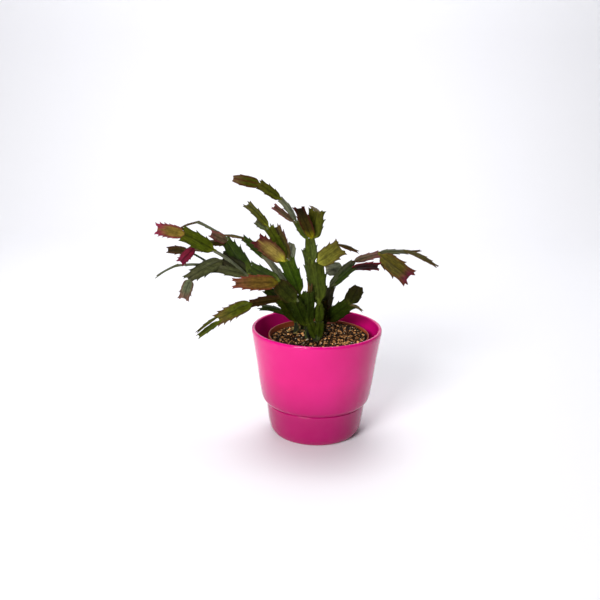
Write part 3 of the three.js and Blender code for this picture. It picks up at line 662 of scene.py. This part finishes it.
# Each stem: where it leaves the mix, the top of its corky base, and its segments. Each segment: name, what it
# grows from, which corner of that tip, its own tip, its width, how far its face is tipped up from facing the
# front in degrees, how far it arches, its outline and its tone.
stems = dict(
    stem_centre=dict(root=(0.6, -5), trunk=(1.8, -5, 128), trunkWidth=9, trunkTop=1.15, segments=[
        ("C0", "trunk", 0, (2.7, -9, 150), 11, 10, 0, "oval", "old"),
        ("C7", "root", -1, (-7.5, -12, 129), 10, 0, 0, "clawed", "old"),
        ("C8", "root", 1, (3.5, -12, 130), 9.5, 0, 0, "clawed", "old"),
        ("C1", "C0", 0, (-2.8, -5, 196), 19, 15, 1, "long", "oliveDeep"),
        ("C1b", "C0", -1, (-11.5, 8, 205), 13, 5, 0, "full", "old"),
        ("C2", "C1", -1, (-9.5, 6, 218.5), 14.5, -20, 1, "short", "oliveDeep"),
        ("Z3", "C2", -1, (-24.8, 8, 236), 10, -20, 1, "short", "oliveDeep"),
        ("Z1", "Z3", 0, (-41.8, 6, 260), 9.5, 55, 2, "long", "pale"),
        ("UU", "Z1", 0, (-63.3, -2, 276), 11, 30, 1, "long", "olive"),
        ("TT", "UU", 0, (-90, -12, 282.5), 11.5, 20, 2, "oval", "striped"),
        ("Z2", "Z3", -1, (-47.8, -4, 253.5), 6.5, 15, 1, "long", "rose"),
        ("AA", "C2", 1, (-21, -14, 254), 13, -20, 1, "full", "flushedDark"),
        ("BB", "C2", 1, (-2.5, 2, 248.5), 18.5, 10, 1, "full", "goldenGreen"),
        ("CC", "BB", 1, (-8.5, 20, 250), 5, 70, 0, "short", "withered"),
        ("DD", "C1", 1, (23.5, -18, 214), 19, 15, 1, "full", "golden"),
        ("EE", "DD", -1, (41.7, -16, 208.5), 6, 60, 1, "short", "brown"),
    ]),
    stem_centre_left=dict(root=(-10.6, 2), trunk=(-10.2, -5, 125), trunkWidth=6.5, segments=[
        ("II", "trunk", 0, (-19, -14, 161.5), 12, 10, 1, "full", "vivid"),
        ("C6", "trunk", 1, (-9, -17, 164.5), 12.5, 10, 0, "full", "deep"),
        ("HH", "trunk", 1, (-8, -14.5, 172), 8, 0, 0, "tapered", "brownOlive"),
        ("Y", "II", 0, (-34.5, 4, 195), 18, 30, 1, "long", "vivid"),
        ("R", "Y", 0, (-54.5, 14, 228), 12, 35, 1, "long", "fresh"),
        ("R2", "Y", 1, (-47.5, 24, 227), 11, 35, 1, "long", "brownOlive"),
        ("Q", "R", 0, (-78.8, 26, 250.5), 10.5, 45, 2, "long", "olive"),
        ("Q2", "R", -1, (-69, 28, 231.5), 9, 20, 1, "short", "paintedSheenGreyish"),
        ("T", "Y", -1, (-64.5, -14, 220), 17.5, 0, 2, "clawed", "flushedGold"),
        ("S", "Y", 1, (-41, 34, 220), 7.5, 0, 1, "short", "dustyRose"),
        ("S2", "Y", 1, (-29.3, 26, 208.5), 12, -20, 0, "oval", "pale"),
        ("C5", "trunk", -1, (-23.5, -22, 156), 15, 10, 1, "full", "deep"),
        ("N", "C5", 0, (-43, -38, 180.5), 18.5, 10, 2, "oval", "darkOlive"),
        ("M", "N", 0, (-85, -52, 181.5), 15.5, 25, 1, "tapered", "russetGold"),
        ("P", "N", 1, (-70.5, -24, 192.5), 13, -5, 1, "full", "deep"),
        ("G1", "C5", 1, (-56.8, 6, 197.5), 11, 58, 1, "long", "pale"),
        ("U", "G1", 0, (-81.8, 20, 214), 11, -20, 1, "tapered", "deep"),
        ("V", "U", 0, (-101.8, 14, 218), 7, 80, 1, "short", "brownOlive"),
    ]),
    stem_far_left=dict(root=(-14.8, 36), trunk=(-16.8, 33, 119), trunkWidth=7, segments=[
        ("D1", "trunk", 0, (-40, 20, 143.5), 15, 35, 1, "full", "deep"),
        ("D2", "D1", 0, (-57.8, 8, 160.5), 13, 45, 1, "short", "deep"),
        ("D3", "D2", 0, (-76.3, 14, 175.5), 13, 30, 0, "short", "deep"),
        ("W", "D3", 0, (-102.8, 34, 208.5), 22, -15, 1, "tapered", "deep"),
        ("WA", "W", 0, (-118.8, 28, 217), 11, 25, 1, "short", "rose"),
        ("WB", "W", -1, (-121.8, 24, 207), 8, 40, 1, "short", "brownOlive"),
        ("WC", "W", 1, (-136.3, 52, 225.5), 7, 75, 1, "long", "paintedSheenGreyish"),
        ("WD", "WC", 0, (-157.3, 60, 216.5), 4, 90, 1, "short", "brownOlive"),
        ("X", "D3", -1, (-112.3, 0, 204.5), 10, 86, 2, "long", "pale"),
        ("L2", "X", 0, (-143.5, -14, 225), 16.5, 28, 2, "long", "fresh"),
        ("L1", "L2", 0, (-168.5, -20, 230), 14, 20, 2, "clawed", "blush"),
        ("XB", "X", -1, (-133.5, -10, 207.5), 7.5, 40, 2, "short", "withered"),
        ("XM", "XB", 0, (-145, -18, 194), 10.5, 10, 1, "clawed", "magenta"),
        ("JB", "D3", 1, (-106.5, 22, 190), 15, 10, 1, "full", "darkest"),
        ("J", "D3", -1, (-113, 10, 182.5), 11, 40, 1, "long", "paintedSheenGreyOlive"),
        ("H", "JB", -1, (-140.5, -8, 173), 16, 30, 5, "tapered", "paintedSheenGreyOlive"),
        ("I", "H", 1, (-143.5, -14, 153), 12.5, 10, 1, "full", "paintedSheenGreyBlush"),
        ("XD", "J", 0, (-143.8, 18, 199.5), 5, 88, 1, "short", "deep"),
        ("XC", "XD", 0, (-164.8, 14, 200.5), 11, -20, 1, "short", "brown"),
        ("G", "J", 1, (-158.3, 30, 179.5), 10, 88, 2, "long", "paintedSheenGreyish"),
        ("G2", "G", 0, (-181.8, 36, 165), 9, 86, 1, "short", "paintedSheenGreyish"),
    ]),
    stem_low_left=dict(root=(-22.6, 20), trunk=(-23, 18, 121), trunkWidth=6.5, segments=[
        ("K00", "trunk", 0, (-38.8, -14, 156), 13, 25, 1, "long", "green"),
        ("K01", "trunk", 0, (-26.8, -2, 147), 11, 15, 0, "long", "deep"),
        ("K0", "K00", 0, (-71.3, -26, 152), 11.5, -25, 2, "full", "brown"),
        ("K1", "K0", 0, (-103.3, -44, 140), 15, 30, 4, "clawed", "clawedOlive"),
        ("K2", "K1", -1, (-122.8, -56, 130), 3.5, 50, 1, "short", "olive"),
        ("K3", "K1", 1, (-123.3, -48, 122.5), 6.5, 30, 1, "short", "fresh"),
        ("K0b", "trunk", -1, (-62.5, 6, 140.5), 9.5, 70, 6, "long", "deep"),
    ]),
    stem_right=dict(root=(7.7, 24), trunk=(9.2, 22, 122), trunkWidth=7, segments=[
        ("E1", "trunk", 0, (13.7, 16, 162), 13, -20, 1, "long", "paintedSheenGreyish"),
        ("E2", "trunk", -1, (7.2, 14, 147.5), 10, 0, 0, "full", "darkOlive"),
        ("NN", "E1", 0, (40.2, 34, 187.5), 12.5, 50, 1, "oval", "paintedSheenGreyish"),
        ("NN2", "NN", 0, (69.7, 44, 193.5), 10, 50, 1, "long", "rose"),
        ("PP", "NN2", 0, (102, 26, 170.5), 20, 15, 2, "long", "goldenBlush"),
        ("QQ", "NN2", -1, (100.2, 56, 194), 10.5, 70, 1, "long", "paintedSheenGreyOlive"),
        ("RR", "QQ", 1, (116.7, 62, 194.5), 5, 70, 0, "short", "brown"),
        ("SS", "QQ", -1, (133.7, 46, 180), 9, 65, 2, "tapered", "brownOlive"),
        ("NNb", "E1", 1, (40.2, 22, 183.5), 11.5, 60, 1, "long", "deep"),
        ("OO", "NNb", 0, (67.5, 28, 183), 14, -40, 1, "full", "maroon"),
        ("E1b", "E1", 1, (29.7, 42, 178), 11, 70, 1, "short", "deep"),
        ("FF", "E1b", -1, (8.7, 52, 172), 15, 20, 1, "oval", "paintedLightPale"),
        ("KK", "trunk", 1, (35.5, -14, 152.5), 16.5, 10, 1, "full", "deep"),
        ("LL", "KK", 0, (43.5, -20, 173), 17, -10, 1, "oval", "darkest"),
        ("MM", "KK", 1, (47.7, -24, 146.5), 3.5, 60, 2, "short", "withered"),
    ]),
)


def curveThrough(knots, share):
    # a smooth curve through given knots
    if share <= knots[0][0]:
        return knots[0][1]
    for i in range(len(knots) - 1):
        (x0, y0), (x1, y1) = knots[i], knots[i + 1]
        if share <= x1:
            before = knots[i - 1] if i else knots[i]
            after = knots[i + 2] if i + 2 < len(knots) else knots[i + 1]
            slope0 = (y1 - before[1]) / (x1 - before[0])
            slope1 = (after[1] - y0) / (after[0] - x0)
            f = (share - x0) / (x1 - x0)
            wide = x1 - x0
            return ((2 * f ** 3 - 3 * f * f + 1) * y0 + (f ** 3 - 2 * f * f + f) * wide * slope0
                    + (3 * f * f - 2 * f ** 3) * y1 + (f ** 3 - f * f) * wide * slope1)
    return knots[-1][1]


def segmentFrame(start, tip, turnDegrees):
    # along runs from neck to tip, face points out of the flat side and up is the side that it arches to
    along = (tip - start).normalized()
    front = Vector((0, -1, 0))
    front = (front - along * front.dot(along)).normalized()
    upper = along.cross(front)
    if upper.z < 0:
        upper.negate()
    turn = math.radians(turnDegrees)
    face = front * math.cos(turn) + upper * math.sin(turn)
    across = face.cross(along)
    if across.x < 0:
        across.negate()
        face.negate()
    return dict(start=start, length=(tip - start).length, along=along, across=across, face=face,
                up=-1 if face.z < 0 else 1)


def placeIn(seg, share, out, off):
    # a place in a segment: share of its length, share of half its width, and height off its middle surface
    angle = seg["twist"] * (share - 0.5)
    across = seg["across"] * math.cos(angle) + seg["face"] * math.sin(angle)
    face = seg["face"] * math.cos(angle) - seg["across"] * math.sin(angle)
    lift = seg["up"] * seg["bow"] * 4 * share * (1 - share) + seg["cup"] * out * out + off
    return seg["start"] + seg["along"] * (share * seg["length"]) + across * (out * seg["half"]) + face * lift


def outlineRows(outline, end):
    rows = [end * i / segmentShape["evenRows"] for i in range(segmentShape["evenRows"] + 1)]
    for start, tip, width in outline["teeth"]:
        rows = [row for row in rows if abs(row - tip) > segmentShape["clearOfTooth"]]
        rows += [tip + step for step in segmentShape["rowsAtTooth"]]
    rows += [segmentShape["rowAtNeck"]] + [end + step for step in segmentShape["rowsAtEnd"]]
    return sorted(rows)


def edgeOut(seg, outline, share, side):
    # how far a tooth stands out past the plain outline here, and how much it leans forward
    for i, (start, tip, width) in enumerate(outline["teeth"]):
        if start < share <= tip:
            rise = (share - start) / (tip - start)
            knot = 2 * i + 3    # the tooth's place among the points of the outline in the part's source
            spread = segmentShape["toothSpread"] * (scatter(seg["index"] * 31 + knot * 5 + side) - 0.5)
            stand = width + spread - curveThrough(outline["base"], tip)
            return stand * rise ** 3, segmentShape["toothLean"] * smoothStep(0.4, 1, rise)
    return 0, 0


def roundEnd(toEnd):
    # the share of its full thickness that a rounded end has, this share of the way in from its tip
    return math.sqrt(max(0, 1 - (1 - min(1, toEnd)) ** 2))


def halfThickness(seg, share, u, baseHalf, end):
    # u is the place across, from -1 at one edge to 1 at the other. The blade thins out from the rib to the
    # edge, which is rounded off by a high power of u, and the neck is a plain oval.
    rib = segmentShape["ribHalf"] * (segmentShape["ribAtNeck"] - segmentShape["ribFalls"] * share)
    edge = segmentShape["edgeHalf"]
    blade = edge + ((1 - segmentShape["ridge"]) * rib - edge) * (1 - abs(u))
    ridge = segmentShape["ridge"] * rib * math.exp(-(u * baseHalf / segmentShape["ribWide"]) ** 2)
    flat = (blade + ridge) * math.sqrt(max(0, 1 - abs(u) ** 10))
    neck = rib * math.sqrt(max(0, 1 - u * u))
    toEnd = min(share, end - share) * seg["length"] / segmentShape["endRound"]
    return (neck + (flat - neck) * smoothStep(*segmentShape["neckEnds"], share)) * roundEnd(toEnd)


def leafColorAt(tone, share, u, across):
    # the neck's colour is gone a third of the way up, and the rib's comes in above the neck
    color = blendOf(tone["neck"], tone["face"], smoothStep(0.02, 0.34, share))
    color = blendOf(color, tone["tip"], smoothStep(tone["tipFrom"], 1, share))
    color = blendOf(color, tone["edge"], segmentShape["edgeStain"] * smoothStep(1 - tone["reach"], 1, abs(u)))
    # the rib colour is painted shade along the midrib where the tone gives no rib colour of its own
    nearRib = math.exp(-(across / segmentShape["ribColourAndShadeWide"]) ** 2)
    return blendOf(color, tone["rib"], segmentShape["ribColourAndShade"] * nearRib * smoothStep(0.04, 0.2, share))


def addSegment(bm, layers, seg, outline, tone):
    # a grid wrapped round into a flat tube: rows go from neck to tip, columns over the top and back below
    end = outline["base"][-1][0]
    rows = outlineRows(outline, end)
    columns = [-u for u in reversed(halfColumns)] + halfColumns[1:]
    around = 2 * (len(columns) - 1)
    made = bmesh.ops.create_grid(bm, x_segments=len(rows) - 1, y_segments=around, size=1)["verts"]
    faces = {face for vert in made for face in vert.link_faces}
    for vert in made:
        row = round((vert.co.x + 1) / 2 * (len(rows) - 1))
        column = round((vert.co.y + 1) / 2 * around)
        level = 1 if column <= around // 2 else -1
        u = columns[column if level > 0 else around - column]
        side = 1 if u > 0 else -1
        share = rows[row]
        base = curveThrough(outline["base"], share)
        stand, lean = edgeOut(seg, outline, share, side)
        atEdge = smoothStep(segmentShape["toothBase"], 1, abs(u))
        # a horn is from 0.8 to 1.2 times as long as its outline says, and grows at the very end
        reach = outline["horn"] * (0.8 + 0.4 * scatter(seg["index"] * 7 + side))
        atEnd = smoothStep(end - segmentShape["hornLong"], end, share)
        horn = reach * smoothStep(segmentShape["hornBase"], 1, abs(u)) * atEnd
        out = u * base + side * stand * atEdge
        phase = 6.3 * scatter(seg["index"] * 17 + 5)
        swing = math.sin(segmentShape["waveTurn"] * share + phase) * smoothStep(0.1, 0.3, share)
        wave = segmentShape["wave"] * u * u * side * swing
        off = level * halfThickness(seg, share, u, base * seg["half"], end) + wave
        vert.co = placeIn(seg, share + lean * atEdge ** 3 + horn, out, off)
        vert[layers["color"]] = leafColorAt(tone, share, u, out * seg["half"])
        vert[layers["place"]] = (share * seg["length"] + patternStep[0] * seg["index"], out * seg["half"],
                                 patternStep[1] * seg["index"])
    bmesh.ops.remove_doubles(bm, verts=made, dist=segmentShape["weld"])
    bmesh.ops.recalc_face_normals(bm, faces=[face for face in faces if face.is_valid])


def addJoint(bm, layers, place, seg, tone):
    # the small corky swelling where a segment grows out of another
    size = jointShape["size"] + jointShape["growth"] * seg["half"]
    turnTo = Matrix((seg["across"], seg["along"], seg["face"])).transposed().to_4x4()
    shape = Matrix.Translation(place) @ turnTo @ Matrix.Diagonal((*jointShape["stretch"], 1))
    made = bmesh.ops.create_icosphere(bm, subdivisions=2, radius=size, matrix=shape)["verts"]
    color = blendOf(tone["neck"], toLinear(corkTones[1]), jointShape["barkShare"])
    for vert in made:
        vert[layers["color"]] = color
        vert[layers["place"]] = (vert.co - place) + Vector((patternStep[0] * seg["index"], 0, patternStep[1]))


def addTrunk(bm, layers, stem, number):
    # the old corky base: upright in its hole, then leaning to the first segments
    shape = trunkShape
    split = shape["collarAt"]
    topShare = stem.get("trunkTop", shape["topShare"])
    foot = Vector((*stem["root"], soilBed["level"] - shape["rooted"]))
    collar = Vector((*stem["root"], soilBed["level"] + shape["collar"]))
    top = Vector(stem["trunk"]) + Vector((0, 0, shape["overTop"]))
    made = bmesh.ops.create_grid(bm, x_segments=shape["rows"], y_segments=shape["around"], size=1)["verts"]
    faces = {face for vert in made for face in vert.link_faces}
    dark, light = (toLinear(hexText) for hexText in corkTones)
    for vert in made:
        share = (vert.co.x + 1) / 2
        angle = (vert.co.y + 1) * math.pi
        if share < split:
            middle = foot.lerp(collar, share / split)
            radius = shape["footShare"] + (1 - shape["footShare"]) * share / split
        else:
            lean = (share - split) / (1 - split)
            middle = collar.lerp(top, lean)
            radius = 1 + (topShare - 1) * lean
        furrow = noise.noise(Vector((math.cos(angle) * 1.6, math.sin(angle) * 1.6, share * 3 + 9 * number)))
        ridge = (shape["ridgeHigh"] * math.sin(shape["ridges"] * angle + 2 * furrow)
                 + shape["furrowHigh"] * furrow)
        relief = ridge * (shape["smoothInMix"] if share < split else 1)
        knuckle = shape["knuckleHigh"] * math.sin(share * shape["knuckles"] + number)
        closing = roundEnd(min(share, 1 - share) * shape["roundRows"])
        radius *= stem["trunkWidth"] / 2 * (1 + relief + knuckle) * closing
        vert.co = middle + radius * Vector((math.cos(angle), shape["flattened"] * math.sin(angle), 0))
        # painted shade: darker where the surface dips into a furrow, lighter on its ridges
        vert[layers["color"]] = blendOf(dark, light, smoothStep(-0.25, 0.45, furrow + ridge))
    bmesh.ops.remove_doubles(bm, verts=made, dist=segmentShape["weld"])
    kept = [face for face in faces if face.is_valid]
    for face in kept:
        face.material_index = 1
    bmesh.ops.recalc_face_normals(bm, faces=kept)


def stemPiece(name, stem, firstIndex, number):
    bm = bmesh.new()
    layers = dict(color=bm.verts.layers.float_color.new("leafColor"),
                  place=bm.verts.layers.float_vector.new("leafPlace"))
    addTrunk(bm, layers, stem, number)
    placed = {}
    for i, (label, on, corner, tip, width, turn, bow, outlineName, toneName) in enumerate(stem["segments"]):
        tip = Vector(tip)
        if on in placed:
            joint = placeIn(placed[on], segmentShape["joint"], corner * segmentShape["corner"], 0)
        else:
            aside, back, up = jointShape[on]
            grownFrom = stem["trunk"] if on == "trunk" else (*stem["root"], soilBed["level"])
            joint = Vector(grownFrom) + Vector((corner * aside, back, up))
        neck = joint - (tip - joint).normalized() * segmentShape["sunk"]
        index = firstIndex + i
        seg = segmentFrame(neck, tip, turn)
        seg.update(half=width / 2, bow=bow, index=index,
                   cup=segmentShape["cup"] * (scatter(index * 3 + 1) - 0.5),
                   twist=segmentShape["twist"] * (scatter(index * 3 + 2) - 0.5))
        placed[label] = seg
        tone = {key: toLinear(value) if isinstance(value, str) else value
                for key, value in {**toneDefaults, **leafTones[toneName]}.items()}
        # painted shade: without a rib colour of its own, the midrib is the face painted darker
        tone.setdefault("rib", blendOf(tone["face"], [0, 0, 0, 1], segmentShape["ribPaintedShade"]))
        addSegment(bm, layers, seg, outlines[outlineName], tone)
        addJoint(bm, layers, joint, seg, tone)
    pieceName = "leafyStem" + name.replace("stem", "").replace("_", " ").title().replace(" ", "")
    makePiece(pieceName, bm, [leafSkin, cork], name)


soilPiece(stems)
for kindName, kind in chipKinds.items():
    chipPiece(kindName, kind, stems)

segmentCount = 0
for number, (name, stem) in enumerate(stems.items()):
    stemPiece(name, stem, segmentCount, number)
    segmentCount += len(stem["segments"])
print("plant made,", segmentCount, "segments")


# Floor and light: a pale seamless sweep, and soft studio light

sweep = dict(front=-2.2, back=1.05, bend=0.5, bendSteps=12, height=2.6, halfWidth=2.6,
             color="#f2f2f6", roughness=0.8)
bm = bmesh.new()
line = [(sweep["front"], 0), (sweep["back"], 0)]
for step in range(1, sweep["bendSteps"] + 1):
    angle = step / sweep["bendSteps"] * math.pi / 2
    line.append((sweep["back"] + sweep["bend"] * math.sin(angle), sweep["bend"] * (1 - math.cos(angle))))
line.append((sweep["back"] + sweep["bend"], sweep["height"]))
points = [bm.verts.new((-sweep["halfWidth"], y, z)) for y, z in line]
edges = [bm.edges.new(pair) for pair in zip(points, points[1:])]
grown = bmesh.ops.extrude_edge_only(bm, edges=edges)["geom"]
farSide = [made for made in grown if isinstance(made, bmesh.types.BMVert)]
bmesh.ops.translate(bm, vec=(2 * sweep["halfWidth"], 0, 0), verts=farSide)
bmesh.ops.recalc_face_normals(bm, faces=bm.faces)
seamlessFloor = meshObject("seamlessFloor", bm)
paper = newMaterial("seamlessPaper", {
    "Base Color": toLinear(sweep["color"]), "Roughness": sweep["roughness"]})[0]
seamlessFloor.data.materials.append(paper)

# the places and sizes are in metres, and target is what a light points at
softLights = dict(
    frontLeft=dict(place=(-0.8, -1.57, 0.95), target=(0, 0, 0.15), size=0.7, power=37),
    frontRight=dict(place=(1.4, -1.0, 0.7), target=(0, 0, 0.15), size=0.8, power=0.3),
    overhead=dict(place=(-0.1, 0.3, 1.6), target=(0, 0.1, 0.0), size=1.0, power=9.5),
    backdropWash=dict(place=(0, 0.9, 1.9), target=(0, 1.6, 0.5), size=1.2, power=17),
)
for lightName, light in softLights.items():
    lightData = bpy.data.lights.new(lightName, "AREA")
    lightData.shape = "SQUARE"
    lightData.size = light["size"]
    lightData.energy = light["power"]
    lightObject = addObject(lightName, lightData)
    aim = (Vector(light["target"]) - Vector(light["place"])).to_track_quat("-Z", "Y")
    lightObject.location = light["place"]
    lightObject.rotation_euler = aim.to_euler()

studioWalls = dict(color="#fbfafa", strength=0.1)
world = bpy.data.worlds.new("studio")
bpy.context.scene.world = world
world.use_nodes = True
background = world.node_tree.nodes["Background"]
background.inputs["Color"].default_value = toLinear(studioWalls["color"])
background.inputs["Strength"].default_value = studioWalls["strength"]
bpy.context.scene.view_settings.view_transform = "Standard"
print("floor and light made")
